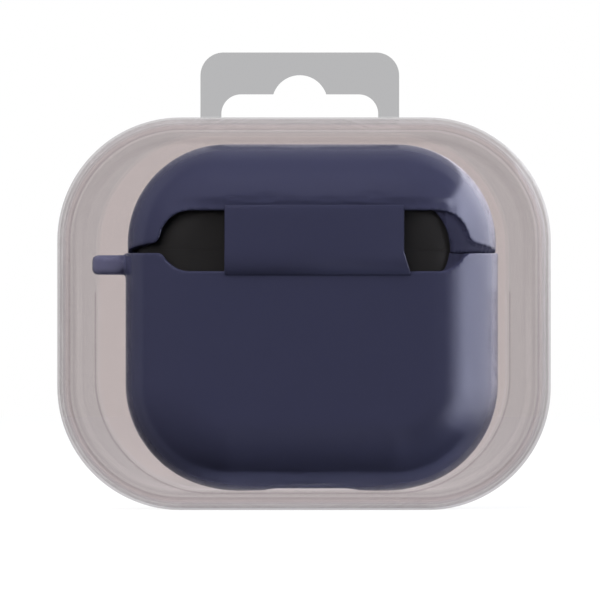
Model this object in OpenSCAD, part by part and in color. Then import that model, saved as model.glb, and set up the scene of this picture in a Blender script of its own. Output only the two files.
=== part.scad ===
// Wireless earbuds case in a silicone cover, packed in a clear hang box.
// Millimetres. +Z is up, -Y is the hinge side of the case, +X is to the right
// when looking at the hinge side. The origin is the middle of the box's foot.

/* [Box] */
// Width of the clear box
box_w = 70; // [69:0.5:74]
// Height of the clear box without its hang tab
box_h = 55.7; // [55.5:0.1:58]
// Depth of the clear box, front to back
box_d = 31; // [30.5:0.5:34]
// Radius of the box's corners, seen from the front
box_corner = 17.5; // [16:0.5:19]
// Radius of the rounded edge around the box's faces
box_edge = 3; // [2.5:0.5:3.5]
// Wall thickness of the box
box_wall = 0.8; // [0.6:0.1:1]

/* [Tab] */
// Width of the hang tab
tab_w = 28.5; // [26:0.1:32]
// Height of the hang tab above the box
tab_h = 9.6; // [9:0.1:12]
// Thickness of the tab's sheet
tab_t = 0.6; // [0.4:0.1:0.8]
// Width of the hang slot
slot_w = 22.5; // [20:0.5:23]

/* [Case] */
// Width of the charging case
case_w = 50.1; // [50:0.1:51]
// Height of the charging case
case_h = 46.2; // [46:0.1:46.6]
// Thickness of the charging case
case_t = 21.2; // [21:0.1:21.6]
// Sideways place of the case in the box
case_x = 1.1; // [0:0.1:1.4]
// Height of the case's foot above the box's foot
case_z = 4.3; // [4.2:0.1:4.6]
// Height of the lid, from its parting line to its top
lid_h = 13.5; // [13:0.1:14]

/* [Cover] */
// Wall thickness of the silicone cover
cover_wall = 1.5; // [1.4:0.1:1.6]
// Width of the flexible strap
strap_w = 25.5; // [24:0.5:27]
// Height of the windows beside the strap
window_h = 8.6; // [8:0.1:9]
// Diameter of the hole in the carabiner lug
lug_bore = 3; // [2.6:0.1:3.2]

/* [Buds] */
// Radius of the pocket that takes an earbud's head
head_r = 7.6; // [7.2:0.1:7.7]
// Radius of the bore that takes an earbud's stem
stem_r = 3.5; // [3.2:0.1:3.6]
// Sideways distance from the case's middle to each earbud
bud_x = 12.4; // [12.2:0.1:12.5]

/* [Hidden] */
$fn = 96;

far = 80;           // longer than any part, for cutting blocks
seam = 0.02;        // overlap that joins two pieces of one moulding
fit = 0.05;         // assembly gap between neighbouring parts

navy = "#3b3d57";
clear_tint = "#b9b0b0";

// Box and tab
box_split = 6;                       // depth at which the two shells meet
lip_depth = 2;                       // how far the front shell's lip reaches in
lip_wall = 0.55;
tray_wall = 0.5;
flange_y = box_split + lip_depth + 0.2;
tab_x = -0.6;
tab_y = flange_y + tray_wall;
tab_corner = 3.3;
slot_h = 3.6;
slot_corner = 2.8;
hump_r = 4;
hump_z = 2.35;                       // height of the hump's centre above the box

// Tray recess, as wide as the lug needs
recess_x = -0.2;
recess_w = 58.2;
recess_corner = 16;
recess_foot = case_z - cover_wall - 0.1;
recess_top = box_h - box_wall - 1.6;
recess_floor = case_t / 2 + cover_wall + 0.5;
rail_front = -6;
rail_top = 31;

// Case
case_corner = 13.5;
case_edge = 8.5;
case_wall = 1.2;
part_z = case_z + case_h - lid_h;    // the lid's parting line
part_gap = 0.04;                     // half the gap at the parting line
back_y = -case_t / 2;

// Hinge
axis_y = back_y - 0.1;
axis_z = part_z;
hinge_x = 1.45;
knuckle_r = 1.1;
pin_r = 0.5;
bore_r = 0.55;
knuckle_w = 3;
knuckle_gap = 0.2;
knuckles = 5;
hinge_w = knuckles * knuckle_w + (knuckles - 1) * knuckle_gap;
notch_r = 1.5;                       // room left in the shells round the barrel
leaf_t = 0.6;
leaf_y = back_y + case_wall + fit;
leaf_h = 2.9;
screw_r = 0.6;
screw_z = 3.6;                       // height of the leaf screws from the axis
spring_w = 3.4;                      // room for the spring at the barrel's end

// Cover
cover_base_top = part_z - 0.5;
cover_lid_foot = part_z - 0.4;
lid_trim = 0.6;                      // how much narrower the cover's lid is
lid_tighter = 0.9;                   // how much tighter its corners are
lid_tilt = 10.1;                     // rise of the lid's edge towards the hinge
window_z = part_z + 1.2;
window_left = -20.5;
window_right = 23.3;
lid_corners = [1.5, 2.5];            // corner radii, left and right, slit to window
lid_edges = [1.15, 0.95];            // where they start, above the lid's foot
base_corners = [1.3, 1.5];
ledge_w = 2.65;                      // thin web left in the right window
ledge_t = 0.8;
ledge_bow = 7;                       // radius of the web's free edge
strap_t = 1.2;
strap_y = back_y - cover_wall;
strap_foot = window_z - window_h / 2 - 0.5;
strap_top = window_z + window_h / 2 + 1.1;
lug_t = 2.85;
lug_ring_r = 2.85;
lug_x = -27.15;
lug_z = 34.8;
port_cut = [14, 9];

// Inside
deck_top = part_z - 0.7;
deck_t = 2;
cup_wall = 0.9;
cup_foot = deck_top - 7.6;
stem_floor = case_z + 7.7;
floor_t = 1.3;
board_y = back_y + 2.7;
board_t = 0.8;
coil_z = 21.6;
coil_r = 8.4;
pin_gap = 2.6;                       // spacing of the two contacts in a well
light_z = 30.5;

// ---------------------------------------------------------------- helpers

// Half of a plate's cross-section with a rounded edge: x is the reach
module rim(reach, thick, r) {
  translate([0, -thick / 2]) square([reach - r, thick]);
  translate([0, r - thick / 2]) square([reach, thick - 2 * r]);
  intersection() {
    union() {
      translate([reach - r, thick / 2 - r]) circle(r);
      translate([reach - r, r - thick / 2]) circle(r);
    }
    translate([0, -thick / 2]) square([reach, thick]);
  }
}

// Block with round corners seen from the front and round edges, centred
module pillow(w, h, t, corner, edge) {
  half = [w / 2 - corner, h / 2 - corner];
  rotate([90, 0, 0]) {
    cube([2 * half[0], 2 * half[1], t], center = true);
    for (i = [0:3]) {
      across = half[i % 2];
      along = half[1 - i % 2];
      rotate([0, 0, 90 * i]) {
        translate([across, along, 0])
          rotate_extrude(angle = 90) rim(corner, t, edge);
        translate([across, along, 0])
          rotate([90, 0, 0]) linear_extrude(2 * along) rim(corner, t, edge);
      }
    }
  }
}

// Round-cornered outline drawn flat
module round_rect(w, h, r) {
  square([w, h - 2 * r], center = true);
  square([w - 2 * r, h], center = true);
  for (x = [-1, 1]) for (y = [-1, 1])
    translate([x * (w / 2 - r), y * (h / 2 - r)]) circle(r);
}

// Upright plate from an outline drawn in X and Z, from depth y0 to y1
module upright(y0, y1) {
  translate([0, y1, 0]) rotate([90, 0, 0]) linear_extrude(y1 - y0) children();
}

// Block between two corners
module block(low, high) {
  translate(low) cube(high - low);
}

// Cylinder along X or Y from one end to the other
module rod_x(x0, x1, r) {
  translate([x0, 0, 0]) rotate([0, 90, 0]) cylinder(h = x1 - x0, r = r);
}
module rod_y(y0, y1, r) {
  translate([0, y0, 0]) rotate([-90, 0, 0]) cylinder(h = y1 - y0, r = r);
}

module above(z) {
  block([-far, -far, z], [far, far, z + far]);
}
module below(z) {
  block([-far, -far, z - far], [far, far, z]);
}
module behind(y) {
  block([-far, y, -far], [far, y + far, far]);
}
module before(y) {
  block([-far, y - far, -far], [far, y, far]);
}

// Wire wound along Z: a round wire swept along a helix, after a straight leg
function ring(p, a, r, n) = [for (i = [0:n - 1])
  p + r * [cos(a) * cos(360 * i / n), sin(a) * cos(360 * i / n), sin(360 * i / n)]];
module helix(r, wire_r, pitch, turns, leg = 0.1) {
  sides = 6;
  steps = round(12 * turns) + 1;
  coil = [for (k = [0:steps - 1]) let (a = 30 * k)
    each ring([r * cos(a), r * sin(a), pitch * k / 12], a, wire_r, sides)];
  points = concat(ring([r, -leg, 0], 0, wire_r, sides), coil);
  walls = [for (k = [0:steps - 1]) for (i = [0:sides - 1]) let (j = (i + 1) % sides)
    [k * sides + i, (k + 1) * sides + i, (k + 1) * sides + j, k * sides + j]];
  first = [for (i = [0:sides - 1]) i];
  last = [for (i = [sides - 1:-1:0]) steps * sides + i];
  polyhedron(points, concat(walls, [first, last]));
}

// ---------------------------------------------------------------- box

// The box's form, grown by o all round
module box_form(o) {
  translate([0, 0, box_h / 2])
    pillow(box_w + 2 * o, box_h + 2 * o, box_d + 2 * o, box_corner + o, box_edge + o);
}

// The box's outline, grown by o, between two depths
module box_slab(o, y0, y1) {
  translate([0, 0, box_h / 2])
    upright(y0, y1) round_rect(box_w + 2 * o, box_h + 2 * o, box_corner + o);
}

module box_front_shell() {
  color(clear_tint, 0.4) {
    difference() {
      box_form(0);
      box_form(-box_wall);
      behind(box_split);
    }
    difference() {
      union() {
        box_slab(-box_wall + seam, box_split - 1.5, box_split);
        box_slab(-box_wall - 0.15, box_split - 1.5, box_split + lip_depth);
      }
      box_slab(-box_wall - 0.15 - lip_wall, box_split - 2, box_split + lip_depth + 1);
    }
  }
}

module box_back_shell() {
  color(clear_tint, 0.4) difference() {
    box_form(0);
    box_form(-box_wall);
    before(box_split);
    block([tab_x - tab_w / 2, tab_y, box_h - 2], [tab_x + tab_w / 2, tab_y + tab_t, box_h + 2]);
  }
}

// The recess's outline, grown by o
module recess_outline(o) {
  h = recess_top - recess_foot;
  translate([recess_x, recess_foot + h / 2])
    round_rect(recess_w + 2 * o, h + 2 * o, recess_corner + o);
}

module inner_tray() {
  color(clear_tint, 0.3) {
    difference() {
      union() {
        box_slab(-box_wall, flange_y, flange_y + tray_wall);
        upright(flange_y, recess_floor + tray_wall) recess_outline(tray_wall);
      }
      upright(flange_y - 1, recess_floor) recess_outline(0);
    }
    difference() {
      upright(rail_front, flange_y + seam) recess_outline(tray_wall);
      upright(rail_front - 1, flange_y + 1) recess_outline(0);
      above(rail_top);
    }
  }
}

module hang_tab() {
  foot = recess_top + tray_wall;
  color("#b2b2b2", 0.6) upright(tab_y, tab_y + tab_t) difference() {
    translate([tab_x, 0]) union() {
      translate([0, (foot + box_h + tab_h) / 2])
        square([tab_w - 2 * tab_corner, box_h + tab_h - foot], center = true);
      translate([-tab_w / 2, foot]) square([tab_w, box_h + tab_h - tab_corner - foot]);
      for (s = [-1, 1]) translate([s * (tab_w / 2 - tab_corner), box_h + tab_h - tab_corner])
        circle(tab_corner);
    }
    translate([tab_x, box_h]) {
      translate([-slot_w / 2, 0]) square([slot_w, slot_h - slot_corner]);
      translate([slot_corner - slot_w / 2, 0]) square([slot_w - 2 * slot_corner, slot_h]);
      for (s = [-1, 1]) translate([s * (slot_w / 2 - slot_corner), slot_h - slot_corner])
        intersection() {
          circle(slot_corner);
          translate([-slot_corner, 0]) square([2 * slot_corner, slot_corner]);
        }
      translate([0, hump_z]) intersection() {
        circle(hump_r);
        translate([-hump_r, -hump_z + slot_h - seam]) square([2 * hump_r, hump_r + hump_z]);
      }
    }
  }
}

// ---------------------------------------------------------------- cover

// The charging case's form, grown by o and trimmed in width by trim
module case_form(o, trim = 0, tighter = 0) {
  translate([case_x, 0, case_z + case_h / 2])
    pillow(case_w + 2 * o - trim, case_h + 2 * o, case_t + 2 * o, case_corner + o - tighter,
      case_edge + o);
}

// One window's opening, to the left (-1) or right (1) of the strap
module window(s) {
  r = window_h / 2;
  end = s < 0 ? window_left + r : window_right - r;
  inner = hinge_x + s * (strap_w / 2 - 0.5);
  translate([end, 0, window_z]) rod_y(-far, back_y + 3, r);
  block([min(end, inner), -far, window_z - r], [max(end, inner), back_y + 3, window_z + r]);
}

// Thin web over the case that is left in the right window's far end
module web() {
  bow_x = window_right - ledge_w - ledge_bow;
  difference() {
    intersection() {
      case_form(ledge_t);
      block([bow_x, -far, -far], [far, far, far]);
    }
    translate([bow_x, 0, window_z - 0.9]) rod_y(-far, far, ledge_bow);
  }
}

// Rounds the corners where the slit's edges, at two heights, run into the
// windows. The cover lies above (side 1) or below (side -1) the edges.
module slit_corners(edges, side, corners) {
  r = window_h / 2;
  bite = 0.02;
  for (k = [0, 1]) {
    s = 2 * k - 1;
    f = corners[k];
    end = s < 0 ? window_left + r : window_right - r;
    rise = edges[k] + side * f - window_z;
    mid = end + s * sqrt(pow(r + f, 2) - pow(rise, 2));
    touch = window_z + rise * r / (r + f);
    slit = edges[k] - side * 0.3;
    difference() {
      block([min(mid, end), -far, min(slit, touch)], [max(mid, end), back_y + 3, max(slit, touch)]);
      translate([mid, 0, window_z + rise]) rod_y(-2 * far, far, f + bite);
    }
  }
}

// All that is cut from the cover beside and behind the strap
module windows(edges, side, corners) {
  gap = strap_w / 2 + 0.5;
  difference() {
    union() {
      window(-1);
      window(1);
      slit_corners(edges, side, corners);
    }
    web();
  }
  block([hinge_x - gap, -far, axis_z - 1.8], [hinge_x + gap, back_y + 3, axis_z + 2.6]);
}

// Lip of the lid's web that closes the slit from behind at its right end
module slit_lip() {
  difference() {
    case_form(ledge_t - 0.03);
    case_form(0.15);
    below(cover_base_top + 0.1);
    above(cover_lid_foot + 2.2);
    behind(-4);
    block([-2 * far, -far, -far], [window_right - ledge_w, far, far]);
  }
}

module lug() {
  corner = 0.8;
  difference() {
    translate([lug_x, 0, lug_z]) {
      rotate_extrude() rim(lug_ring_r, lug_t, corner);
      translate([0, -lug_ring_r, -lug_t / 2 + corner])
        cube([3.2, 2 * lug_ring_r, lug_t - 2 * corner]);
      translate([0, corner - lug_ring_r, -lug_t / 2])
        cube([3.2, 2 * (lug_ring_r - corner), lug_t]);
    }
    translate([lug_x, 0, lug_z - lug_t]) cylinder(h = 2 * lug_t, d = lug_bore);
    case_form(cover_wall / 2);
  }
}

module cover_base() {
  color(navy) {
    difference() {
      case_form(cover_wall);
      case_form(fit);
      above(cover_base_top);
      windows([cover_base_top, cover_base_top], -1, base_corners);
      translate([case_x, 0, 0]) linear_extrude(case_z + 3) round_rect(port_cut[0], port_cut[1], 3);
      translate([case_x, 0, light_z]) rod_y(0, far, 1.6);
    }
    lug();
  }
}

module cover_lid() {
  color(navy) {
    difference() {
      case_form(cover_wall, lid_trim, lid_tighter);
      case_form(fit);
      below(cover_lid_foot);
      translate([0, -2.5, cover_lid_foot]) rotate([-lid_tilt, 0, 0])
        block([-far, -far, -far], [far, 0, 0]);
      windows(cover_lid_foot * [1, 1] + lid_edges, 1, lid_corners);
    }
    slit_lip();
  }
}

module cover_strap() {
  r = 0.55;
  color(navy) translate([hinge_x - strap_w / 2, strap_y - strap_t / 2, (strap_foot + strap_top) / 2])
    rotate([0, 90, 0]) rotate([0, 0, 90]) linear_extrude(strap_w)
      round_rect(strap_t, strap_top - strap_foot, r);
}

// ---------------------------------------------------------------- case shells

// Room for the hinge barrel in the shells' back walls
module hinge_room() {
  start = -hinge_w / 2 - 0.5;
  end = hinge_w / 2 + spring_w + 0.5;
  translate([hinge_x, axis_y, axis_z]) {
    rod_x(start, end, notch_r);
    block([start, -1, -notch_r], [end, case_wall + 0.3, notch_r]);
  }
}

// Screw places on the leaf below (-1) or above (1) the parting line
module screw_places(side) {
  for (s = [-1, 1]) translate([hinge_x + s * 5, 0, axis_z + side * screw_z]) children();
}

module case_base_shell() {
  color("#242424") difference() {
    case_form(0);
    case_form(-case_wall);
    above(part_z - part_gap);
    hinge_room();
    screw_places(-1) rod_y(back_y + 0.4, 0, screw_r);
    translate([case_x, 0, 0]) linear_extrude(case_z + 3) round_rect(9.4, 3.6, 1.75);
    translate([case_x, 0, light_z]) rod_y(0, far, 0.9);
  }
}

module case_lid_shell() {
  color("#242424") difference() {
    case_form(0);
    case_form(-case_wall);
    below(part_z + part_gap);
    hinge_room();
    screw_places(1) rod_y(back_y + 0.4, 0, screw_r);
  }
}

// ---------------------------------------------------------------- hinge

// Every second knuckle, starting with knuckle first, and the arms to its leaf
module hinge_leaf(first, side) {
  leaf_far = side * (notch_r + 0.4 + leaf_h);
  leaf_near = side * 0.25;
  start = hinge_x - hinge_w / 2;
  difference() {
    union() {
      for (k = [first:2:knuckles - 1]) {
        x0 = start + k * (knuckle_w + knuckle_gap);
        translate([0, axis_y, axis_z]) {
          rod_x(x0, x0 + knuckle_w, knuckle_r);
          block([x0, 0, min(leaf_near, side * 1)],
            [x0 + knuckle_w, leaf_y - axis_y + seam, max(leaf_near, side * 1)]);
        }
        block([x0, leaf_y, axis_z + min(leaf_near, side * 3)],
          [x0 + knuckle_w, leaf_y + leaf_t, axis_z + max(leaf_near, side * 3)]);
      }
      block([start, leaf_y, axis_z + min(side * 1.7, leaf_far)],
        [start + hinge_w, leaf_y + leaf_t, axis_z + max(side * 1.7, leaf_far)]);
    }
    translate([0, axis_y, axis_z]) rod_x(-far, far, bore_r);
    screw_places(side) rod_y(leaf_y - 1, 0, screw_r + 0.1);
  }
}

module hinge_base_leaf() {
  color("silver") hinge_leaf(0, -1);
}
module hinge_lid_leaf() {
  color("silver") hinge_leaf(1, 1);
}

module hinge_pin() {
  end = hinge_w / 2 + 0.3;
  color("gray") translate([hinge_x, axis_y, axis_z]) rod_x(-end, end + spring_w, pin_r);
}

// Torsion spring wound on the pin's end, with a leg that rests inside the base
module hinge_spring() {
  wire_r = 0.14;
  turns = 7;
  pitch = (spring_w - 0.4 - 2 * wire_r) / turns;
  color("silver") translate([hinge_x + hinge_w / 2 + 0.2 + wire_r, axis_y, axis_z])
    mirror([0, 1, 0]) rotate([0, 90, 0]) helix(0.78, wire_r, pitch, turns, 2.6);
}

module hinge_screw() {
  rod_y(back_y + 0.45, leaf_y + leaf_t, screw_r - 0.02);
  translate([0, leaf_y + leaf_t, 0]) difference() {
    rod_y(0, 0.45, 1.05);
    translate([0, 0.25, 0]) rod_y(0, 1, 0.4);
  }
}
module hinge_base_screws() {
  color("dimgray") screw_places(-1) hinge_screw();
}
module hinge_lid_screws() {
  color("dimgray") screw_places(1) hinge_screw();
}

// ---------------------------------------------------------------- earbud cradle

// Runs its child at each earbud's place
module at_buds(sides = [-1, 1]) {
  for (s = sides) translate([case_x + s * bud_x, 0, 0]) children();
}

module magnet_pocket() {
  translate([case_x - 2.6, 5.6, 0]) cube([5.2, 2.2, 1.7]);
}

// Room inside the back wall for the hinge leaves and the spring's leg
module leaf_room() {
  start = hinge_x - hinge_w / 2 - 0.5;
  block([start, -far, axis_z - 6], [start + hinge_w + spring_w + 1, leaf_y + 1.9, axis_z + 6]);
}

module cradle() {
  color("#2c2c2c") difference() {
    union() {
      difference() {
        intersection() {
          case_form(-case_wall - fit);
          block([-far, -far, deck_top - deck_t], [far, far, deck_top]);
        }
        leaf_room();
      }
      at_buds() {
        translate([0, 0, cup_foot - cup_wall]) cylinder(h = deck_top - cup_foot, r = head_r + cup_wall);
        translate([0, 0, stem_floor - floor_t])
          cylinder(h = cup_foot - stem_floor + floor_t, r = stem_r + cup_wall);
      }
    }
    at_buds() {
      translate([0, 0, cup_foot]) cylinder(h = far, r = head_r);
      translate([0, 0, stem_floor]) cylinder(h = far, r = stem_r);
      for (s = [-1, 1]) translate([s * pin_gap / 2, 0, 0]) cylinder(h = stem_floor + 1, r = 0.5);
    }
    translate([0, 0, deck_top - 1.7]) magnet_pocket();
  }
}

module lid_liner() {
  foot = part_z + 0.4;
  color("#2c2c2c") difference() {
    intersection() {
      case_form(-case_wall - fit);
      block([-far, -far, foot], [far, far, foot + 9.4]);
    }
    leaf_room();
    at_buds() translate([0, 0, foot - 1]) {
      cylinder(h = 2, r = head_r + 0.2);
      translate([0, 0, 1.5]) sphere(head_r + 0.2);
    }
    translate([0, 0, foot]) magnet_pocket();
  }
}

module magnet() {
  translate([case_x - 2.55, 5.65, 0]) cube([5.1, 2.1, 1.6]);
}
module lid_magnet() {
  color("lightgray") translate([0, 0, part_z + 0.45]) magnet();
}
module base_magnet() {
  color("lightgray") translate([0, 0, deck_top - 1.65]) magnet();
}

// Small magnets under each head pocket, which pull the earbuds down
module bud_magnets() {
  color("lightgray") at_buds() for (s = [-1, 1])
    translate([0, s * 5.75, cup_foot - cup_wall - 1.25]) cylinder(h = 1.2, r = 1.15);
}

// ---------------------------------------------------------------- contacts

block_foot = stem_floor - floor_t - 4.3;

module contact_block(s) {
  top = stem_floor - floor_t;
  color("#1c1c1c") at_buds([s]) difference() {
    translate([-3, -2, block_foot]) cube([6, 4, top - block_foot - 0.001]);
    for (k = [-1, 1]) translate([k * pin_gap / 2, 0, block_foot + 0.6]) cylinder(h = far, r = 0.85);
  }
}

// A sprung contact: a plunger with a collar that the well's floor keeps in
module contact_pins(s) {
  top = stem_floor - floor_t;
  color("gold") at_buds([s]) for (k = [-1, 1]) translate([k * pin_gap / 2, 0, 0]) {
    translate([0, 0, top - 0.85]) cylinder(h = 0.8, r = 0.75);
    translate([0, 0, top - 0.85]) cylinder(h = floor_t + 1.65 - 0.4, r = 0.42);
    translate([0, 0, top + floor_t + 0.4]) sphere(0.42);
  }
}

module contact_springs(s) {
  top = stem_floor - floor_t;
  turns = 5;
  low = block_foot + 0.6 + 0.14;
  pitch = (top - 0.85 - 0.14 - low) / turns;
  color("silver") at_buds([s]) for (k = [-1, 1])
    translate([k * pin_gap / 2, 0, low]) helix(0.6, 0.12, pitch, turns);
}

module left_contact_block() {
  contact_block(-1);
}
module right_contact_block() {
  contact_block(1);
}
module left_contact_pins() {
  contact_pins(-1);
}
module right_contact_pins() {
  contact_pins(1);
}
module left_contact_springs() {
  contact_springs(-1);
}
module right_contact_springs() {
  contact_springs(1);
}

// ---------------------------------------------------------------- electronics

module battery_cell() {
  color("silver") translate([case_x, 0.2, 13.2]) linear_extrude(13.6) round_rect(14, 8.8, 2);
  color("khaki") translate([case_x - 4, -1.5, 26.8 - seam]) cube([8, 3, 0.35]);
}

module main_board() {
  color("darkgreen") upright(board_y, board_y + board_t) difference() {
    translate([case_x, 18.2]) round_rect(28, 17.4, 2.5);
    for (s = [-1, 1]) translate([case_x + s * 12, 24.6]) circle(0.7);
  }
}

module board_chips() {
  y0 = board_y + board_t;
  color("#202020") {
    block([case_x - 9, y0, 19], [case_x - 3.5, y0 + 0.9, 24.5]);
    block([case_x + 2, y0, 20], [case_x + 5, y0 + 0.8, 23]);
    block([case_x + 7.5, y0, 14], [case_x + 10.5, y0 + 1.2, 17]);
    block([case_x - 11, y0, 13], [case_x - 8.6, y0 + 0.6, 15.4]);
    for (k = [0:4]) block([case_x + 6.6 + 1.2 * k, y0, 24], [case_x + 7.3 + 1.2 * k, y0 + 0.5, 25.2]);
  }
}

module port_board() {
  y1 = -1.65;
  color("darkgreen") block([case_x - 6.8, y1 - 0.8, 6.9], [case_x + 6.8, y1, 12.7]);
  color("black") block([case_x - 3.5, board_y + board_t, 10.6], [case_x + 3.5, y1 - 0.8 + seam, 11.8]);
}

module usb_receptacle() {
  mouth = case_z + 0.3;
  color("silver") translate([case_x, -0.04, mouth]) {
    difference() {
      linear_extrude(7.3) round_rect(8.94, 3.2, 1.55);
      translate([0, 0, -1]) linear_extrude(7.5) round_rect(8.34, 2.6, 1.25);
    }
    translate([-3.35, -0.35, 0.7]) cube([6.7, 0.7, 6.2]);
  }
}

module charging_coil() {
  turn_w = 0.55;
  turns = 8;
  color("peru") translate([case_x, back_y + case_wall + 0.05, coil_z]) rotate([-90, 0, 0]) {
    difference() {
      cylinder(h = 0.25, r = coil_r);
      translate([0, 0, -1]) cylinder(h = 3, r = coil_r - turns * turn_w);
    }
    for (k = [1:turns]) rotate_extrude()
      translate([coil_r - turn_w * k, 0.2]) square([turn_w * 0.8, 0.45]);
  }
}

module ferrite_sheet() {
  color("#33302e") translate([case_x, back_y + case_wall + 0.75, coil_z])
    rod_y(0, 0.5, coil_r);
}

module light_pipe() {
  inner = case_t / 2 - case_wall;
  color("white") translate([case_x, 0, light_z]) {
    rod_y(inner - 0.6, case_t / 2, 0.86);
    rod_y(inner - 0.9, inner - fit, 1.5);
  }
}

// Flat cable from the board's top edge, over the battery, to the status lamp
module status_flex() {
  y0 = board_y + board_t;
  y1 = case_t / 2 - case_wall - 1.2;
  z0 = 27.45;
  color("orange") {
    block([case_x - 1.5, y0, 25.6], [case_x + 1.5, y0 + 0.2, z0]);
    block([case_x - 1.5, y0, z0 - 0.2], [case_x + 1.5, y1, z0]);
    block([case_x - 1.5, y1 - 0.2, z0 - 0.2], [case_x + 1.5, y1, light_z + 1.6]);
    block([case_x - 0.8, y1 - seam, light_z - 0.6], [case_x + 0.8, y1 + 0.28, light_z + 0.6]);
  }
}

// ---------------------------------------------------------------- nodes

box_front_shell();
box_back_shell();
inner_tray();
hang_tab();
cover_base();
cover_lid();
cover_strap();
case_base_shell();
case_lid_shell();
cradle();
lid_liner();
hinge_base_leaf();
hinge_lid_leaf();
hinge_pin();
hinge_spring();
hinge_base_screws();
hinge_lid_screws();
lid_magnet();
base_magnet();
bud_magnets();
battery_cell();
main_board();
board_chips();
port_board();
usb_receptacle();
charging_coil();
ferrite_sheet();
left_contact_block();
right_contact_block();
left_contact_pins();
right_contact_pins();
left_contact_springs();
right_contact_springs();
light_pipe();
status_flex();
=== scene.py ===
# %% [markdown]
# # A clear hang box with an earbuds case in its silicone cover
#
# The object is a shop pack: a two-part clear box with a hang tab, a formed tray
# inside it, and in the tray a small charging case in a navy silicone cover, seen
# from its hinge side. The CAD frame gives every size and place, in metres, with
# -Y towards the viewer and +Z up. This script gives the parts their finish and
# rebuilds the soft parts, whose edges CAD leaves sharp.

# %% Load the frame
import math

import bpy
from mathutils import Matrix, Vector


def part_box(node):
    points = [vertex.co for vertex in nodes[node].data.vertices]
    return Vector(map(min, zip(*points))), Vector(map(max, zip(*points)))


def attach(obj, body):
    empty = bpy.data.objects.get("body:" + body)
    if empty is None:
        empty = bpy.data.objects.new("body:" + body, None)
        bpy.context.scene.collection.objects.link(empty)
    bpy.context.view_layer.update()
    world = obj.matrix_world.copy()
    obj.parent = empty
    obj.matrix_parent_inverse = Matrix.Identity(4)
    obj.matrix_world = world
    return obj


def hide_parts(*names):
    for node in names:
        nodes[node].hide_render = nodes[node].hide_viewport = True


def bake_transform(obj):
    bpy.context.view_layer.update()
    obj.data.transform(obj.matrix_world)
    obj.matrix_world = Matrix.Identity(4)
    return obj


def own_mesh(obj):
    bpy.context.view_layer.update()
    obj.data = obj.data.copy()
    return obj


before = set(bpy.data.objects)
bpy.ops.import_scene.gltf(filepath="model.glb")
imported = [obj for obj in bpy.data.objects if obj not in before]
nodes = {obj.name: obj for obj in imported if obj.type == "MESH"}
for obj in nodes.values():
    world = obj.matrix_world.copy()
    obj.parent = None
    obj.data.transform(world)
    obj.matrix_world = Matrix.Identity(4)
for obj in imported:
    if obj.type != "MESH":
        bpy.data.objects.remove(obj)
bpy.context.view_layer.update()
mm = 0.001

# %% [markdown]
# The view is a plain one, straight onto the hinge side. A short lens close by
# would draw the box's front larger than the case inside it. A long lens from far
# away keeps both at one scale. The camera's distance follows from the lens: the
# view is 85.4 mm wide at the box's front half.

# %% Camera
VIEW_WIDTH = 85.4 * mm
VIEW_CENTRE = Vector((-0.57 * mm, -6 * mm, 29.8 * mm))
FOCAL_LENGTH, SENSOR_WIDTH = 800, 36    # of the lens, in mm
FARTHEST_SEEN = 40                       # in metres
lens = bpy.data.cameras.new("long_lens")
lens.lens = FOCAL_LENGTH
lens.sensor_width = SENSOR_WIDTH
lens.clip_end = FARTHEST_SEEN
camera = bpy.data.objects.new("camera", lens)
bpy.context.collection.objects.link(camera)
distance = VIEW_WIDTH * FOCAL_LENGTH / SENSOR_WIDTH
camera.location = VIEW_CENTRE - Vector((0, distance, 0))
camera.rotation_euler = (math.radians(90), 0, 0)
bpy.context.scene.camera = camera
bpy.context.scene.view_settings.view_transform = "Standard"
print("camera stands", round(distance, 2), "m from the box")

# %% [markdown]
# Many clear walls stand behind one another here: two shells, a lip and a tray,
# each with two faces. A ray must be allowed through all of them, or it would
# stop and leave a black patch.

# %% Rays through clear walls
CLEAR_FACES = 40
bpy.context.scene.cycles.transparent_max_bounces = CLEAR_FACES
print("a ray may pass", CLEAR_FACES, "clear faces")

# %% [markdown]
# Materials are node trees. Two helpers keep them short: one turns a colour code
# from a paint chart into the linear values that a renderer mixes, and one adds
# a node with its settings and its inputs, where an input may be a number or
# another node's output.


# %% Helpers for materials
def colour(code):
    """The linear colour of a hex code such as #3b3d57."""
    parts = [int(code[i:i + 2], 16) / 255 for i in (1, 3, 5)]
    linear = [c / 12.92 if c <= 0.04045 else ((c + 0.055) / 1.055) ** 2.4 for c in parts]
    return (*linear, 1)


def add_node(tree, kind, inputs=None, **settings):
    """A new node with its settings. An input is a value, a socket, or a node's first output."""
    node = tree.nodes.new("ShaderNode" + kind)
    for name, value in settings.items():
        setattr(node, name, value)
    for name, value in (inputs or {}).items():
        if isinstance(value, bpy.types.Node):
            value = value.outputs[0]
        if isinstance(value, bpy.types.NodeSocket):
            tree.links.new(value, node.inputs[name])
        else:
            node.inputs[name].default_value = value
    return node


def new_material(name):
    """An empty material with its node tree and its output node."""
    material = bpy.data.materials.new(name)
    material.use_nodes = True
    tree = material.node_tree
    tree.nodes.clear()
    return material, tree, add_node(tree, "OutputMaterial")


print("navy as linear values:", [round(part, 3) for part in colour("#3c3f57")])

# %% [markdown]
# The studio's light comes from two things. The world is a room with a large soft
# box on the right, a dim ceiling and a white backdrop behind the set: it gives
# both light and reflections. The fill light stands in front, high on the left.
# It is polarised, as is usual for shiny goods, so it lights colours and adds no
# reflection: here that is a lamp that mirrors don't see.


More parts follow.
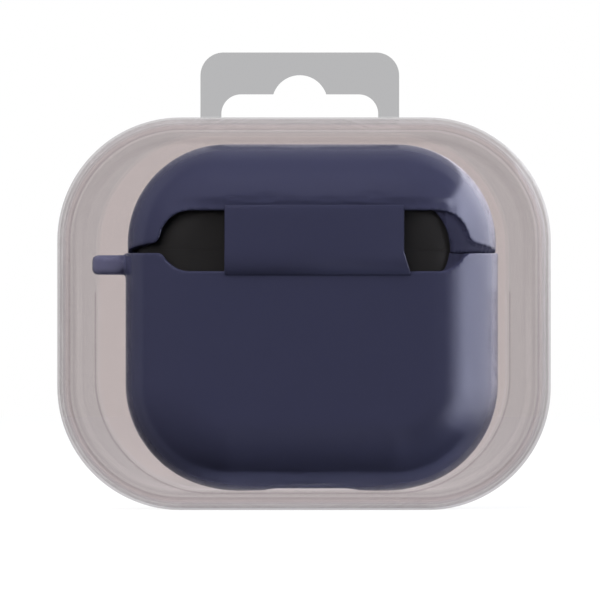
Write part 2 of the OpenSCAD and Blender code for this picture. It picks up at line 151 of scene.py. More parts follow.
# %% Fill light
def fill_lamp(name, azimuth, elevation, reach, size, power):
    """A square lamp that lights the box's middle and isn't mirrored. Azimuth 0 is at the viewer."""
    light = bpy.data.lights.new(name, "AREA")
    light.size = size
    light.energy = power
    lamp = bpy.data.objects.new(name, light)
    bpy.context.collection.objects.link(lamp)
    turn, rise = math.radians(azimuth), math.radians(elevation)
    out_of_box = Vector((math.sin(turn) * math.cos(rise), -math.cos(turn) * math.cos(rise),
                         math.sin(rise)))
    lamp.location = VIEW_CENTRE + reach * out_of_box
    lamp.rotation_euler = (-out_of_box).to_track_quat("-Z", "Y").to_euler()
    lamp.visible_camera = False
    lamp.visible_glossy = False
    print(name, "stands at", [round(place, 2) for place in lamp.location], "m")


fill_lamp("front_fill", azimuth=-38, elevation=42, reach=1.0, size=1.2, power=25.5)

# %% [markdown]
# The room is written by direction. This cell splits a direction into how far it
# points right, behind and up, its turn away from the viewer, and its slope: how
# steeply it climbs to the right, measured from a level that leans back a little.

# %% Directions of the room
world = bpy.data.worlds.new("studio")
bpy.context.scene.world = world
world.use_nodes = True
tree = world.node_tree
tree.nodes.clear()
degree = math.pi / 180
LEAN = -0.155
place = add_node(tree, "TexCoord")
right, behind, up = add_node(tree, "SeparateXYZ", {0: place.outputs["Generated"]}).outputs
away = add_node(tree, "Math", {0: behind, 1: -1.0}, operation="MULTIPLY")
turn = add_node(tree, "Math", {0: right, 1: away}, operation="ARCTAN2")
tilt = add_node(tree, "Math", {0: behind, 1: LEAN, 2: up}, operation="MULTIPLY_ADD")
rightward = add_node(tree, "Math", {0: right, 1: 0.001}, operation="MAXIMUM")
slope = add_node(tree, "Math", {0: tilt, 1: rightward}, operation="DIVIDE")

# %% [markdown]
# The soft box stands at the right. A lamp with an even face would mirror as a
# plain rectangle, and a real soft box is brightest near its middle. So this one
# is five steps multiplied: it fades in from the viewer's side, wider towards its
# foot, fades slowly towards the back, fades out downwards, brightens a little
# upwards, and ends at its top in a rather sharp edge.

# %% Soft box on the right
SOFT_BOX_LEVEL = 6.1
low_turn = add_node(tree, "Math", {0: slope, 1: -0.3, 2: turn}, operation="MULTIPLY_ADD")
wider = add_node(tree, "Math", {0: turn, 1: low_turn}, operation="MAXIMUM")
# Each step: what it reads, from where to where, its level there, and its way
STEPS = [(wider, 27 * degree, 76 * degree, 0.015, 1.0, "SMOOTHSTEP"),
         (turn, 60 * degree, 180 * degree, 1.0, 0.5, "LINEAR"),
         (slope, -0.85, 0.0, 0.05, 1.0, "SMOOTHSTEP"),
         (slope, 0.05, 0.45, 1.0, 1.15, "SMOOTHSTEP"),
         (slope, 0.80, 0.90, 1.0, 0.0, "SMOOTHSTEP")]
soft_box = add_node(tree, "Math", {0: right, 1: 0.0}, operation="GREATER_THAN")
soft_box = add_node(tree, "Math", {0: soft_box, 1: SOFT_BOX_LEVEL}, operation="MULTIPLY")
for value, start, end, level_there, level_past, way in STEPS:
    step = add_node(tree, "MapRange", {0: value, 1: start, 2: end, 3: level_there, 4: level_past},
                    interpolation_type=way)
    soft_box = add_node(tree, "Math", {0: soft_box, 1: step}, operation="MULTIPLY")
print("soft box: level", SOFT_BOX_LEVEL, "shaped by", len(STEPS), "steps")

# %% [markdown]
# The backdrop fills what lies behind, less so low down and high up, and the dim
# ceiling joins it. Both fade out to the left, where the room is dark.

# %% Ceiling and backdrop
CEILING_LEVEL = 0.14
DARK_LEVEL = 0.02
ceiling = add_node(tree, "MapRange", {0: up, 1: 0.22, 2: 0.58, 3: 0.0, 4: CEILING_LEVEL},
                   interpolation_type="SMOOTHSTEP")
high_up = add_node(tree, "Math", {0: up, 1: 0.0}, operation="MAXIMUM")
start = add_node(tree, "Math", {0: high_up, 1: -0.12, 2: behind}, operation="MULTIPLY_ADD")
backdrop = add_node(tree, "MapRange", {0: start, 1: 0.10, 2: 0.16},
                    interpolation_type="SMOOTHSTEP")
below = add_node(tree, "MapRange", {0: up, 1: -0.3, 2: 0.0, 3: 0.9, 4: 1.0})
backdrop = add_node(tree, "Math", {0: backdrop, 1: below}, operation="MULTIPLY")
above = add_node(tree, "MapRange", {0: up, 1: 0.64, 2: 0.9, 3: 1.0, 4: 0.4})
backdrop = add_node(tree, "Math", {0: backdrop, 1: above}, operation="MULTIPLY")
pale = add_node(tree, "Math", {0: ceiling, 1: backdrop}, operation="MAXIMUM")
not_left = add_node(tree, "MapRange", {0: right, 1: -0.55, 2: 0.05, 3: 0.3, 4: 1.0},
                    interpolation_type="SMOOTHSTEP")
pale = add_node(tree, "Math", {0: pale, 1: not_left}, operation="MULTIPLY")
soft_box = add_node(tree, "Math", {0: soft_box, 1: DARK_LEVEL}, operation="ADD")
room = add_node(tree, "Math", {0: pale, 1: soft_box}, operation="MAXIMUM")
print("ceiling", CEILING_LEVEL, "and dark side", DARK_LEVEL, "of the backdrop's light")

# %% [markdown]
# The room's light is a little cool, and bluer low down, so that the foot of the
# cover stays navy. The camera, and rays that have passed clear plastic, see a
# plain white background instead: strength 1 is white.


# %% White background and the room's tone
def seen_share(tree):
    """1 for a ray from the camera or through clear plastic, 0 for light and mirrors."""
    path = add_node(tree, "LightPath").outputs
    return add_node(tree, "Math", {0: path["Is Camera Ray"], 1: path["Is Transmission Ray"]},
                    operation="MAXIMUM")


tree = world.node_tree
seen = seen_share(tree)
level = add_node(tree, "Mix", {"Factor": seen, "A": room, "B": 1.0})
low_down = add_node(tree, "MapRange", {0: up, 1: -0.35, 2: -0.8})
cool = add_node(tree, "Mix", {"Factor": low_down, "A": (0.94, 0.98, 1.07, 1),
                              "B": (0.82, 0.90, 1.44, 1)}, data_type="RGBA").outputs[2]
tone = add_node(tree, "Mix", {"Factor": seen, "A": cool, "B": (1, 1, 1, 1)},
                data_type="RGBA").outputs[2]
light = add_node(tree, "Background", {"Color": tone, "Strength": level})
add_node(tree, "OutputWorld", {"Surface": light})
print("the room has", len(tree.nodes), "nodes")

# %% [markdown]
# The floor is matt white card. To the camera it is mostly its own white, so it
# joins the background without a line, and the small rest takes the shadow.
# Mirrors see the room's own lower half in its place.

# %% Floor
FLOOR_SIZE = 3
FLOOR_DROP = 0.02 * mm    # keeps the card clear of the box's foot
bpy.ops.object.select_all(action="DESELECT")
bpy.ops.mesh.primitive_plane_add(size=FLOOR_SIZE, location=(0, 0, -FLOOR_DROP))
floor = bpy.context.object
floor.name = "floor"
floor.data.transform(floor.matrix_world)
floor.matrix_world.identity()
floor.visible_glossy = False
card, tree, out = new_material("White card")
paper = add_node(tree, "BsdfDiffuse", {"Color": (0.12, 0.12, 0.12, 1)})
glow = add_node(tree, "Emission", {"Strength": 0.885})
seen_card = add_node(tree, "AddShader", {0: paper, 1: glow})
lit_card = add_node(tree, "BsdfDiffuse", {"Color": (0.15, 0.15, 0.15, 1)})
mix = add_node(tree, "MixShader", {"Fac": seen_share(tree), 1: lit_card, 2: seen_card})
tree.links.new(mix.outputs[0], out.inputs["Surface"])
card.cycles.emission_sampling = "NONE"
floor.data.materials.append(card)
print("floor:", FLOOR_SIZE, "m square")

# %% [markdown]
# ## Clear plastic
#
# The shells and the tray are vacuum-formed from thin PET sheet with a slight
# warm grey tint. Sheet this thin doesn't shift what is behind it, so each face
# is a see-through shader with the tint, and over it a mirror whose share rises
# towards the edges, as Fresnel's law says. A refracting glass shader would also
# stop the lamps' direct light and leave the case inside dark and grainy.


# %% Clear sheet
FRONT_ON_SHINE = 0.012
WAVES_PER_METRE = 80    # forming leaves long shallow waves of about 12 mm in the sheet


def clear_sheet(name, tint, edge):
    """Thin clear sheet; tint gives the colour one face lets through, edge its shine side-on."""
    material, tree, out = new_material(name)
    place = add_node(tree, "TexCoord").outputs["Object"]
    waves = add_node(tree, "TexNoise", {"Vector": place, "Scale": WAVES_PER_METRE, "Detail": 1.0})
    bump = add_node(tree, "Bump", {"Height": waves, "Strength": 0.1, "Distance": 0.4 * mm})
    facing = add_node(tree, "LayerWeight", {"Blend": 0.5}).outputs["Facing"]
    steep = add_node(tree, "Math", {0: facing, 1: 5.0}, operation="POWER")
    share = add_node(tree, "Math", {0: steep, 1: edge, 2: FRONT_ON_SHINE},
                     operation="MULTIPLY_ADD")
    clear = add_node(tree, "BsdfTransparent", {"Color": tint(tree, place)})
    shine = add_node(tree, "BsdfGlossy", {"Roughness": 0.1, "Normal": bump})
    mix = add_node(tree, "MixShader", {"Fac": share, 1: clear, 2: shine})
    tree.links.new(mix.outputs[0], out.inputs["Surface"])
    return material


def blend(tree, share, below, above):
    """The colour from below, where share is 0, to above, where it is 1."""
    return add_node(tree, "Mix", {"Factor": share, "A": below, "B": above},
                    data_type="RGBA").outputs[2]


WARMTH = 0.015


def warm_grey(tint):
    """A tint that lets a little more red through than green and blue."""
    return (tint, tint - WARMTH, tint - WARMTH, 1)


# %% [markdown]
# A formed shell isn't one even grey. At the rim a ray runs along inside the wall,
# and behind the rim it passes the double lip where the halves overlap. The thin
# sheet's shader follows neither, so the shade and the light that they give are
# painted into the shell's tint: a ramp by the distance inside the box's rounded
# outline, with lines of painted shade and painted highlight. One ramp serves the
# sides and the foot, and a lighter one the top.

# %% Tints of the shell from its rim inwards
RIM_WIDTH = 4.0
BOX_CORNER = 17.5 * mm
TOP_HEIGHT = 27 * mm    # above the box's middle: from here on the top's ramp is alone
# What one face lets through at each distance in mm inside the outline; its dips are painted shade
# and its peaks painted highlight
SIDE_TINTS = {0.0: 0.78, 0.28: 0.765, 0.45: 0.782, 0.68: 0.785, 0.85: 0.938, 0.98: 0.93, 1.13: 0.883,
              1.27: 0.878, 1.42: 0.89, 1.56: 0.908, 1.7: 0.89, 1.84: 0.842, 1.98: 0.83,
              2.13: 0.836, 2.3: 0.856, 2.55: 0.896, 2.75: 0.905, 2.95: 0.90, 3.2: 0.872, 3.5: 0.881}
TOP_TINTS = {0.0: 0.848, 0.28: 0.857, 0.6: 0.835, 0.74: 0.842, 0.82: 0.953, 0.96: 0.945,
             1.1: 0.932, 1.39: 0.931, 1.53: 0.94, 1.67: 0.917, 1.81: 0.868, 1.96: 0.88,
             2.1: 0.888, 2.35: 0.883, 2.6: 0.862, 3.3: 0.846, 3.7: 0.881}


def tint_by_depth(tree, inside, tints):
    """A colour ramp over the rim's width, with one stop for each depth."""
    ramp = add_node(tree, "ValToRGB", {"Fac": inside})
    stops = ramp.color_ramp.elements
    stops.remove(stops[1])
    for depth, tint in tints.items():
        stop = stops.new(depth / RIM_WIDTH) if depth else stops[0]
        stop.color = warm_grey(tint)
    return ramp


def rim_tint(tree, place, low, high):
    """The ramp's colour at a place in a box with these low and high corners."""
    centre = Vector(((low.x + high.x) / 2, 0, (low.z + high.z) / 2))
    straight = Vector((high.x - centre.x - BOX_CORNER, 0, high.z - centre.z - BOX_CORNER))
    flat = add_node(tree, "VectorMath", {0: place, 1: (1, 0, 1)}, operation="MULTIPLY")
    from_centre = add_node(tree, "VectorMath", {0: flat, 1: centre}, operation="SUBTRACT")
    one_side = add_node(tree, "VectorMath", {0: from_centre}, operation="ABSOLUTE")
    past = add_node(tree, "VectorMath", {0: one_side, 1: straight}, operation="SUBTRACT")
    past = add_node(tree, "VectorMath", {0: past, 1: (0, 0, 0)}, operation="MAXIMUM")
    reach = add_node(tree, "VectorMath", {0: past}, operation="LENGTH").outputs["Value"]
    inside = add_node(tree, "MapRange", {0: reach, 1: BOX_CORNER, 2: BOX_CORNER - RIM_WIDTH * mm})
    upward = add_node(tree, "VectorMath", {0: from_centre, 1: (0.1, 0, 1)},
                      operation="DOT_PRODUCT").outputs["Value"]
    at_top = add_node(tree, "MapRange", {0: upward, 1: 0.0, 2: TOP_HEIGHT})
    return blend(tree, at_top, tint_by_depth(tree, inside, SIDE_TINTS),
                 tint_by_depth(tree, inside, TOP_TINTS))


print("rim tints:", len(SIDE_TINTS), "stops at the sides and", len(TOP_TINTS), "at the top")

# %% [markdown]
# The tab's foot stands in a slot of the shell's top, and it is glued there. Glue
# fills the tiny gaps that scatter light, so the slot's walls vanish. The tray is
# paler where its sheet was drawn deepest and is thinnest.

# %% Shell, tray and tab
GLUED = (0.995, 0.995, 0.995, 1)
SLOT_DEPTH, SLOT_HEIGHT = 0.8 * mm, 0.85 * mm      # to each side of the slot's middle
GLUE_THINS, GLUE_IS_WHOLE = 0.42 * mm, 0.17 * mm    # above the box's top


def shell_tint(tree, place):
    """The rim's ramp, with clear walls in the slot that holds the tab's foot."""
    low, high = [Vector(corner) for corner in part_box("box_front_shell")]
    tab_low, tab_high = [Vector(corner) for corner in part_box("hang_tab")]
    slot = ((tab_low.x + tab_high.x) / 2, (tab_low.y + tab_high.y) / 2, high.z)
    from_slot = add_node(tree, "VectorMath", {0: place, 1: slot}, operation="SUBTRACT")
    from_slot = add_node(tree, "VectorMath", {0: from_slot}, operation="ABSOLUTE")
    out_y, out_z = add_node(tree, "SeparateXYZ", {0: from_slot}).outputs[1:]
    near_y = add_node(tree, "Math", {0: out_y, 1: SLOT_DEPTH}, operation="LESS_THAN")
    near_z = add_node(tree, "Math", {0: out_z, 1: SLOT_HEIGHT}, operation="LESS_THAN")
    in_slot = add_node(tree, "Math", {0: near_y, 1: near_z}, operation="MULTIPLY")
    return blend(tree, in_slot, rim_tint(tree, place, low, high), GLUED)


def tray_tint(tree, place):
    """Paler where the sheet was drawn deepest and is thinnest: floor, foot and steep walls."""
    depth, height = add_node(tree, "SeparateXYZ", {0: place}).outputs[1:]
    drawn = add_node(tree, "MapRange", {0: depth, 1: 8.5 * mm, 2: 12.4 * mm})
    tint = blend(tree, drawn, (0.881, 0.866, 0.866, 1), (0.937, 0.906, 0.90, 1))
    foot = add_node(tree, "MapRange", {0: height, 1: 5 * mm, 2: 3 * mm})
    tint = blend(tree, foot, tint, (0.89, 0.873, 0.873, 1))
    normal = add_node(tree, "NewGeometry").outputs["Normal"]
    facing = add_node(tree, "SeparateXYZ", {0: normal}).outputs["Y"]
    facing = add_node(tree, "Math", {0: facing}, operation="ABSOLUTE")
    wall = add_node(tree, "MapRange", {0: facing, 1: 0.5, 2: 0.2})
    return blend(tree, wall, tint, (0.955, 0.945, 0.945, 1))


def tab_tint(tree, place):
    """Grey film; the glue at its foot, which creeps up a little, makes hazy film clear."""
    height = add_node(tree, "SeparateXYZ", {0: place}).outputs["Z"]
    box_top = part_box("box_front_shell")[1][2]
    glued = add_node(tree, "MapRange", {0: height, 1: box_top + GLUE_THINS,
                                        2: box_top + GLUE_IS_WHOLE})
    return blend(tree, glued, (0.695, 0.695, 0.70, 1), GLUED)


shell_plastic = clear_sheet("Clear PET shell", shell_tint, edge=0.22)
tray_plastic = clear_sheet("Clear PET tray", tray_tint, edge=0.06)
tab_plastic = clear_sheet("Clear PVC tab", tab_tint, edge=0.3)
print("clear sheets:", shell_plastic.name, "/", tray_plastic.name, "/", tab_plastic.name)

# %% [markdown]
# ## Silicone
#
# The cover is liquid silicone rubber with a soft-touch finish: a satin skin,
# nearly matt, that takes a wide highlight. It starts from a Principled shader.
# An IOR of 1.5, a little above bare silicone's, gives the highlight its strength.
# The skin's grain is too fine to see, and drawn coarser it looks like leather, so
# only slow clouds in its gloss, about 7 mm wide, are left. The lug at the left
# side is thin, and light shines into thin silicone, so the lug's dye is painted
# paler there: a painted glow.


# %% Navy silicone
CLOUDS_PER_METRE = 150


def silicone(name, code, sheen_code, roughness, glow_from):
    """Moulded silicone with a satin skin; past a place on X, where it is thin, its dye is painted
    paler as a painted glow.
    """
    material, tree, out = new_material(name)
    place = add_node(tree, "TexCoord").outputs["Object"]
    cloud = add_node(tree, "TexNoise", {"Vector": place, "Scale": CLOUDS_PER_METRE, "Detail": 2.0})
    gloss = add_node(tree, "MapRange", {0: cloud, 1: 0.3, 2: 0.7, 3: roughness - 0.03,
                                        4: roughness + 0.03})
    side = add_node(tree, "SeparateXYZ", {0: place}).outputs["X"]
    # Past the lug's start the dye turns paler: painted glow for the light that shines into the thin
    # rubber.
    thin = add_node(tree, "MapRange", {0: side, 1: glow_from, 2: glow_from - 1.5 * mm})
    dye = blend(tree, thin, colour(code), colour("#636580"))
    skin = add_node(tree, "BsdfPrincipled", {"Base Color": dye, "IOR": 1.5, "Roughness": gloss,
                                             "Specular IOR Level": 1.0,
                                             "Specular Tint": colour(sheen_code)})
    tree.links.new(skin.outputs[0], out.inputs["Surface"])
    return material


NOWHERE = -1
lug_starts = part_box("cover_lid")[0][0]
navy = silicone("Navy silicone", "#3c3f57", "#dde3f6", 0.18, lug_starts)
# A shaded copy of the navy: a darker dye and a dimmer sheen than the skin's, painted shade for the
# cover's inside, its sunken web and the strap's rims.
shaded_matt_navy = silicone("Navy silicone, matt, painted shade", "#2f3144", "#4a4c66", 0.6, NOWHERE)
print("silicone pales past", round(lug_starts / mm, 2), "mm")

# %% [markdown]
# ## The parts inside
#
# Each inner part has the finish of the real one: matt moulded ABS for the case,
# bright steel for the hinge, copper for the coil. Most differ only in colour,
# gloss and the size of their grain, so one function makes them.


# %% Moulded and metal finishes
def finish(name, code, roughness, grain, depth, metal=0.0):
    """A solid finish: grain is its pattern's size and depth its height, in mm."""
    material, tree, out = new_material(name)
    place = add_node(tree, "TexCoord").outputs["Object"]
    pattern = add_node(tree, "TexNoise", {"Vector": place, "Scale": 1 / (grain * mm), "Detail": 3.0})
    bump = add_node(tree, "Bump", {"Height": pattern, "Strength": 0.3, "Distance": depth * mm})
    gloss = add_node(tree, "MapRange", {0: pattern, 1: 0.3, 2: 0.7, 3: roughness - 0.06,
                                        4: roughness + 0.06})
    skin = add_node(tree, "BsdfPrincipled", {"Base Color": colour(code), "Metallic": metal,
                                             "Roughness": gloss, "Normal": bump})
    tree.links.new(skin.outputs[0], out.inputs["Surface"])
    return material


FINISHES = {
    "clear_box": shell_plastic,
    "tab_sheet": tab_plastic,
    "navy_silicone": navy,
    "black_case": finish("Black ABS", "#262626", 0.45, 0.4, 0.01),
    "black_liner": finish("Black matt ABS", "#2a2a2a", 0.6, 0.3, 0.02),
    "hinge_steel": finish("Bright steel", "#c8c8c6", 0.28, 0.3, 0.004, metal=1.0),
    "screw_steel": finish("Blackened steel", "#55565a", 0.4, 0.2, 0.004, metal=1.0),
    "magnet_nickel": finish("Nickel plate", "#cfcbc2", 0.2, 0.5, 0.002, metal=1.0),
    "cell_foil": finish("Cell pouch foil", "#b9bbbd", 0.38, 1.5, 0.05, metal=1.0),
    "board_green": finish("Green solder mask", "#1e5a33", 0.35, 0.8, 0.02),
    "chip_black": finish("Epoxy chip body", "#1c1c1d", 0.55, 0.1, 0.01),
    "port_steel": finish("Drawn steel", "#b8b8b6", 0.3, 0.3, 0.004, metal=1.0),
    "coil_copper": finish("Enamelled copper", "#b8693c", 0.3, 0.5, 0.01, metal=1.0),
    "contact_gold": finish("Gold plate", "#d9a94a", 0.22, 0.3, 0.002, metal=1.0),
    "light_pipe": finish("Milky polycarbonate", "#e8e8e4", 0.3, 0.5, 0.005),
    "flex_film": finish("Amber polyimide film", "#b5651d", 0.35, 1.0, 0.01),
}
for node in nodes.values():
    for slot in node.material_slots:
        slot.material = FINISHES[slot.material.name]
for slot in nodes["inner_tray"].material_slots:
    slot.material = tray_plastic
print("finishes:", len(FINISHES))

# %% [markdown]
# ## The silicone cover
#
# The cover is moulded rubber: it has no sharp edge anywhere, and its cut-outs
# end in small round lips. The CAD solid has the right walls and openings with
# sharp rims. Bevelling so many curved rims one by one would be slow and would
# break where they meet. So a copy of the solid is rebuilt from small cubes, a
# voxel remesh, and then smoothed, which rounds each rim by about half a cube.

# %% Depth below the cover's skin
CASE_X = 1.1    # the case's middle on X, in mm
cover_low, cover_high = [Vector(corner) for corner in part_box("cover_lid")]
cover_low.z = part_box("cover_base")[0][2]
cover_high.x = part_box("cover_base")[1][0]
cover_low.x = 2 * CASE_X * mm - cover_high.x
COVER_CORNER, COVER_EDGE = 15 * mm, 10 * mm


def depth_in_cover(point):
    """How far inside the cover's rounded outer form a point lies."""
    middle, half = (cover_low + cover_high) / 2, (cover_high - cover_low) / 2
    past_x = max(abs(point[0] - middle.x) - half.x + COVER_CORNER, 0)
    past_z = max(abs(point[2] - middle.z) - half.z + COVER_CORNER, 0)
    side = max(math.hypot(past_x, past_z) - COVER_CORNER + COVER_EDGE, 0)
    return COVER_EDGE - math.hypot(side, max(abs(point[1]) - half.y + COVER_EDGE, 0))


print("cover from", [round(v / mm, 2) for v in cover_low], "to",
      [round(v / mm, 2) for v in cover_high])

# %% [markdown]
# Outside, the rubber has its satin skin. Inside and in the sunken web of the
# right window it is matt, as the mould's core is left rough, and there it takes a
# darker dye: painted shade for these recesses. The depth below the cover's
# rounded outer form tells the two apart, face by face.


# %% Cover base and cover lid
SKIN_DEPTH = 0.35    # in mm


def moulded_copy(source, name, cube, rounds, keep):
    """A copy of a CAD solid with soft rims: cube in mm, rounds of smoothing, keep of its faces."""
    bpy.ops.object.select_all(action="DESELECT")
    piece = bpy.data.objects.new(name, nodes[source].data.copy())
    bpy.context.collection.objects.link(piece)
    piece.select_set(True)
    bpy.context.view_layer.objects.active = piece
    bpy.ops.object.mode_set(mode="EDIT")
    bpy.ops.mesh.select_all(action="SELECT")
    bpy.ops.mesh.remove_doubles(threshold=0.001 * mm)
    bpy.ops.object.mode_set(mode="OBJECT")
    cubes = piece.modifiers.new("cubes", "REMESH")
    cubes.mode = "VOXEL"
    cubes.voxel_size = cube * mm
    soft = piece.modifiers.new("soft", "SMOOTH")
    soft.factor = 0.5
    soft.iterations = rounds
    thin_out = piece.modifiers.new("thin out", "DECIMATE")
    thin_out.ratio = keep
    for modifier in ("cubes", "soft", "thin out"):
        bpy.ops.object.modifier_apply(modifier=modifier)
    bpy.ops.object.shade_smooth()
    piece.data.materials.clear()
    piece.data.materials.append(navy)
    piece.data.materials.append(shaded_matt_navy)
    # Faces deeper than the skin take the darker matt navy: painted shade.
    for face in piece.data.polygons:
        face.material_index = int(depth_in_cover(face.center) > SKIN_DEPTH * mm)
    print(name, "has", len(piece.data.polygons), "faces")
    return piece


base_skin = moulded_copy("cover_base", "cover_base_skin", 0.24, 4, 0.35)
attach(base_skin, "case")
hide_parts("cover_base")
lid_skin = moulded_copy("cover_lid", "cover_lid_skin", 0.24, 4, 0.6)
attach(lid_skin, "lid")
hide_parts("cover_lid")

# %% [markdown]
# Rubber this soft doesn't stay as straight as its mould. To bend it, the points
# of a place are picked and moved a little, and proportional editing fades the
# move out all round.


# %% Picking and moving points
def pick_points(piece, wanted):
    """Edit mode on, with only the wanted points selected; wanted tests a point's place in mm."""
    if bpy.context.mode != "OBJECT":
        bpy.ops.object.mode_set(mode="OBJECT")
    bpy.ops.object.select_all(action="DESELECT")
    piece.select_set(True)
    bpy.context.view_layer.objects.active = piece
    bpy.ops.object.mode_set(mode="EDIT")
    bpy.ops.mesh.select_mode(type="VERT")
    bpy.ops.mesh.select_all(action="DESELECT")
    bpy.ops.object.mode_set(mode="OBJECT")
    for point in piece.data.vertices:
        point.select = wanted(*(point.co / mm))
    bpy.ops.object.mode_set(mode="EDIT")


def swell(piece, wanted, push, reach):
    """Move the wanted points by push and fade that out over reach, both in mm."""
    pick_points(piece, wanted)
    bpy.ops.transform.translate(value=[step * mm for step in push], use_proportional_edit=True,
                                proportional_edit_falloff="SMOOTH", proportional_size=reach * mm,
                                use_proportional_connected=True)
    bpy.ops.object.mode_set(mode="OBJECT")


print("cover pieces to bend:", base_skin.name, "and", lid_skin.name)

# %% [markdown]
# A soft crease lies across the lid's back above the strap. One move would end in
# a small hook at each side. Four moves of growing width, one over the other,
# let it run out softly.

# %% Crease across the lid's back
CREASE_HEIGHT = 43.2
for half in (14, 16, 18, 20):
    swell(lid_skin, lambda x, y, z: y < -9.5 and abs(z - CREASE_HEIGHT) < 0.13
          and abs(x - CASE_X) < half, (0, 0.068, 0), 1.25)
print("crease at", CREASE_HEIGHT, "mm,", 2 * half, "mm wide")

# %% [markdown]
# The floor sags beside the port and around it. The lid's rim rests on the base
# at both ends of the slit, and the base bulges a little at the left. In the
# right window the sunken web is raised by 0.3 mm, and the lip below it hangs a
# little lower.


# %% Sags, bulges and the web
def floor_beside_port(x, y, z):
    """Both sides of the charging port."""
    return abs(abs(x - CASE_X) - 9.6) < 0.8 and z < 3.1 and abs(y) < 3


def port_rim(x, y, z):
    """The long rims of the port's opening."""
    return abs(x - CASE_X) < 5.5 and 3.8 < abs(y) < 5.2 and z < 4.2


def slit_ends(x, y, z):
    """The lid's rim at both ends of the slit."""
    return abs(x - CASE_X) > 24.7 and z < 36.8


def left_side(x, y, z):
    """The base's left side."""
    return x < -28.5


def web_face(x, y, z):
    """The outer face of the web, by its depth below the cover's skin."""
    depth = depth_in_cover((x * mm, y * mm, z * mm))
    return x > 20 and y < -5 and 36.7 < z < 42.5 and 0.55 * mm < depth < 0.95 * mm


def web_lip(x, y, z):
    """The lip below the web, at the slit."""
    depth = depth_in_cover((x * mm, y * mm, z * mm))
    return x > 20 and y < -5 and z < 36.75 and depth > 0.2 * mm


SWELLS = (
    (base_skin, floor_beside_port, (0, 0, -0.2), 5.0),
    (base_skin, port_rim, (0, 0, -0.15), 3.0),
    (lid_skin, slit_ends, (0, 0, -0.25), 0.7),
    (base_skin, left_side, (-0.25, 0, 0), 0.5),
    (lid_skin, web_face, (0, -0.3, 0), 0.3),
    (lid_skin, web_lip, (0, 0, -0.22), 0.3),
)
for piece, wanted, push, reach in SWELLS:
    swell(piece, wanted, push, reach)
    print(piece.name, "moved by", push, "mm over", reach, "mm")

# %% [markdown]
# The strap is the cover's own hinge: a band of rubber, about 1 mm proud of the
# cover's back, that joins lid and base and bends when the lid opens. It starts
# as a box at the CAD strap's place, and cuts across it let it bend. They lie
# closer where it curls most.

# %% Strap
ROWS = (0.3, 0.7, 1.2, 1.8, 2.5, 3.2, 3.9, 4.6, 5.3, 6.0, 6.7, 7.4, 8.1, 8.8, 9.3, 9.8)
low, high = [Vector(corner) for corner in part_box("cover_strap")]
bpy.ops.object.select_all(action="DESELECT")
bpy.ops.mesh.primitive_cube_add(size=1, location=(low + high) / 2)
strap = bpy.context.object
strap.name = "cover_strap_band"
strap.scale = high - low
bpy.ops.object.transform_apply(location=True, rotation=False, scale=True)
bpy.ops.object.mode_set(mode="EDIT")
for row in ROWS:
    bpy.ops.mesh.select_all(action="SELECT")
    bpy.ops.mesh.bisect(plane_co=(0, 0, low.z + row * mm), plane_no=(0, 0, 1))
bpy.ops.object.mode_set(mode="OBJECT")
print("strap:", len(strap.data.vertices), "points before its rims are rolled")

# %% [markdown]
# The band's front curls in to its foot and, less, to its top, so each row of
# front points is pushed in by its own small amount, and the top comes down a
# little. The rows of the right side step outwards below the slit, which gives
# the flare.

# %% Curl and flare of the strap
CURL = {0.0: 1.0, 0.3: 0.75, 0.7: 0.5, 1.2: 0.3, 1.8: 0.14, 2.5: 0.05, 9.3: 0.03, 9.8: 0.06}
STRAP_FRONT = -12.7
TOP_DROP = 0.3
FLARE_TOP = 36.6
FLARE_PER_MM = 0.3
strap_foot, strap_top = low.z / mm, high.z / mm
for row, push in CURL.items():
    pick_points(strap, lambda x, y, z: y < STRAP_FRONT and abs(z - strap_foot - row) < 0.1)
    bpy.ops.transform.translate(value=(0, push * mm, 0))
pick_points(strap, lambda x, y, z: y < STRAP_FRONT and z > strap_top - 0.1)
bpy.ops.transform.translate(value=(0, 0.1 * mm, 0))
pick_points(strap, lambda x, y, z: z > strap_top - 0.1)
bpy.ops.transform.translate(value=(0, 0, -TOP_DROP * mm))
for row in (0.0,) + ROWS:
    flare = FLARE_PER_MM * (FLARE_TOP - strap_foot - row)
    if flare > 0:
        pick_points(strap, lambda x, y, z: x > 0 and abs(z - strap_foot - row) < 0.1)
        bpy.ops.transform.translate(value=(flare * mm, 0, 0))
bpy.ops.object.mode_set(mode="OBJECT")
print("strap from", round(strap_foot, 2), "to", round(strap_top - TOP_DROP, 2), "mm high")
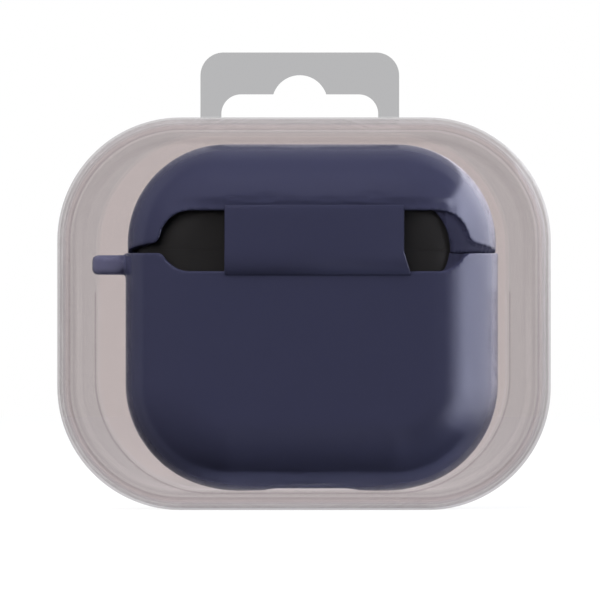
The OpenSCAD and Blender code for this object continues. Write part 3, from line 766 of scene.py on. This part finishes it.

# %% [markdown]
# A bevel rolls the band's rims over. Above the slit its sides and its top are
# matt like the web, and they take the web's darker dye: painted shade on rims
# that would otherwise catch a highlight. The rest has the satin skin.

# %% Rims and finish of the strap
rim = strap.modifiers.new("rim", "BEVEL")
rim.width = 0.2 * mm
rim.segments = 3
rim.limit_method = "ANGLE"
rim.angle_limit = math.radians(60)
bpy.ops.object.modifier_apply(modifier="rim")
bpy.ops.object.shade_smooth_by_angle(angle=math.radians(40))
strap.data.materials.append(navy)
strap.data.materials.append(shaded_matt_navy)
# Sides and top above the slit take the darker matt navy: painted shade.
for face in strap.data.polygons:
    at_rim = abs(face.normal.x) > 0.2 or face.normal.z > 0.7
    face.material_index = int(at_rim and face.center.z > FLARE_TOP * mm)
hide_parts("cover_strap")
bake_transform(strap)

# %% [markdown]
# The case's lid shell rests on its base shell. The frame keeps 0.08 mm between
# them, which would show as a black line in the windows, where the real shells
# close tight. So the lid shell is copied and its foot is brought down to a hair
# above the base.

# %% Lid shell that closes tight
def close_shell(source, name, drop):
    """A copy of a shell with the points of its foot moved down by drop, in mm."""
    shell = bpy.data.objects.new(name, nodes[source].data.copy())
    bpy.context.collection.objects.link(shell)
    foot = shell.bound_box[0][2] / mm
    pick_points(shell, lambda x, y, z: True)
    bpy.ops.mesh.remove_doubles(threshold=0.001 * mm)
    pick_points(shell, lambda x, y, z: z < foot + 0.01)
    bpy.ops.transform.translate(value=(0, 0, -drop * mm))
    bpy.ops.object.mode_set(mode="OBJECT")
    bpy.ops.object.shade_smooth_by_angle(angle=math.radians(30))
    print(name, "foot moved from", round(foot, 2), "to", round(shell.bound_box[0][2] / mm, 2))
    return shell


lid_shell = close_shell("case_lid_shell", "case_lid_shell_closed", 0.07)
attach(lid_shell, "lid")
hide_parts("case_lid_shell")

# %% [markdown]
# Each contact pin stands on a small coil spring that the pin presses down. Each
# spring here gets its own copy of its mesh.

# %% Contact springs
for side in ("left", "right"):
    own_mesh(nodes[side + "_contact_springs"])
